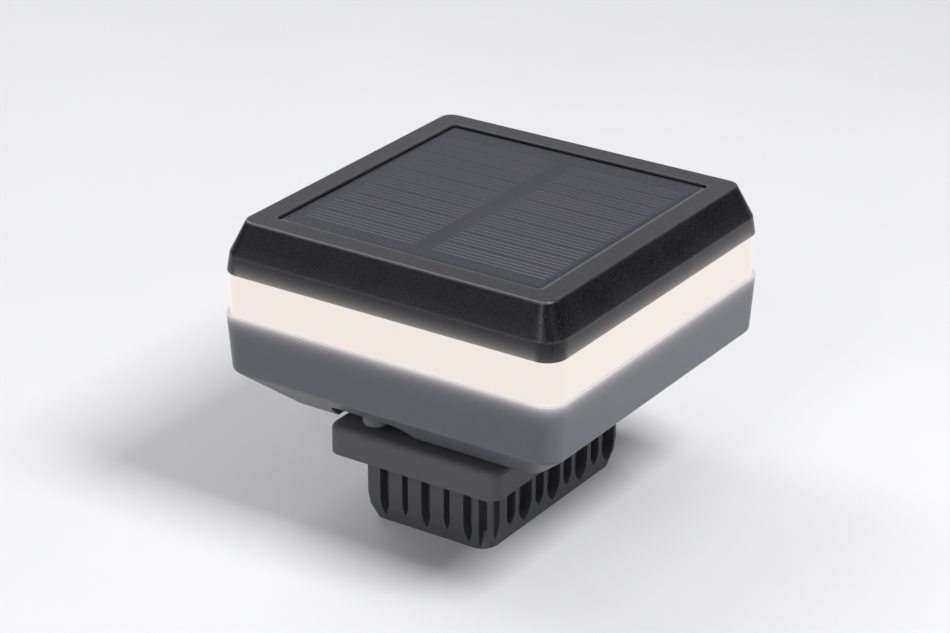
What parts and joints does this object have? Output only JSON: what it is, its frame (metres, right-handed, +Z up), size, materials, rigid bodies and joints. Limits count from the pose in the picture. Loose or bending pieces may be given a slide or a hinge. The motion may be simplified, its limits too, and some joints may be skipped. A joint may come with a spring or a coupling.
{
  "type": "deck post cap light",
  "caption": "Square solar lamp with a glowing band under a dark sloped cover, on a flange and a ribbed plug that enters a hollow rectangular post; a push button sits in a finger recess below.",
  "frame": {"origin": "centre of the plug's lower end, the bottom centre of the lamp's box", "axes": "+Z up, out of the post; +Y along the post's long side; the finger recess is on the -Y side"},
  "size_m": [0.0908, 0.0908, 0.0732],
  "materials": {
    "cover": "near-black moulding with a fine spark-eroded grain",
    "window": "clear laminate, slightly dulled",
    "cells": "dark blue-black silicon strips with fine pale fingers",
    "panel_board": "black-masked fibreglass board",
    "tape": "white foam tape",
    "wire": "PVC sleeve",
    "diffuser": "opal polycarbonate, lit from inside",
    "seal": "soft black rubber",
    "white_plastic": "white reflecting plastic",
    "led_strip": "white flexible circuit",
    "led": "phosphor-filled package",
    "board": "green solder mask",
    "screw": "stainless steel",
    "chip": "black moulding compound",
    "ferrite": "dark grey ferrite",
    "capacitor": "black shrink sleeve",
    "passive": "ceramic",
    "socket": "natural nylon",
    "plunger": "black plastic",
    "button": "dark grey moulding",
    "battery": "plain green sleeve",
    "holder": "black moulding",
    "contact": "nickel-plated spring steel",
    "housing": "dark grey moulding, satin",
    "plug": "dark grey moulding, satin"
  },
  "bodies": {
    "lamp": {"top_cover": "cover", "panel_window": "window", "solar_cells_left": "cells", "solar_cells_right": "cells", "panel_board": "panel_board", "panel_adhesive": "tape", "panel_leads": "wire", "diffuser_ring": "diffuser", "upper_gasket": "seal", "lower_gasket": "seal", "led_carrier": "white_plastic", "led_strip": "led_strip", "led_packages": "led", "led_leads": "wire", "main_board": "board", "board_screws": "screw", "controller_chip": "chip", "boost_inductor": "ferrite", "reservoir_capacitor": "capacitor", "board_passives": "passive", "lead_sockets": "socket", "lead_plugs": "socket", "switch_body": "chip", "battery_cell": "battery", "battery_holder": "holder", "holder_screws": "screw", "contact_plate": "contact", "contact_spring": "contact", "battery_leads": "wire", "lower_housing": "housing", "housing_screws": "screw", "post_plug": "plug", "plug_screws": "screw"},
    "button": {"button_cap": "button", "button_o_ring": "seal", "switch_plunger": "plunger"}
  },
  "joints": [
    {"name": "button_press", "type": "slide", "parent": "lamp", "child": "button", "axis": [0, 0, 1], "range_m": [0, 0.001], "stiffness_N_per_m": 2000}
  ]
}
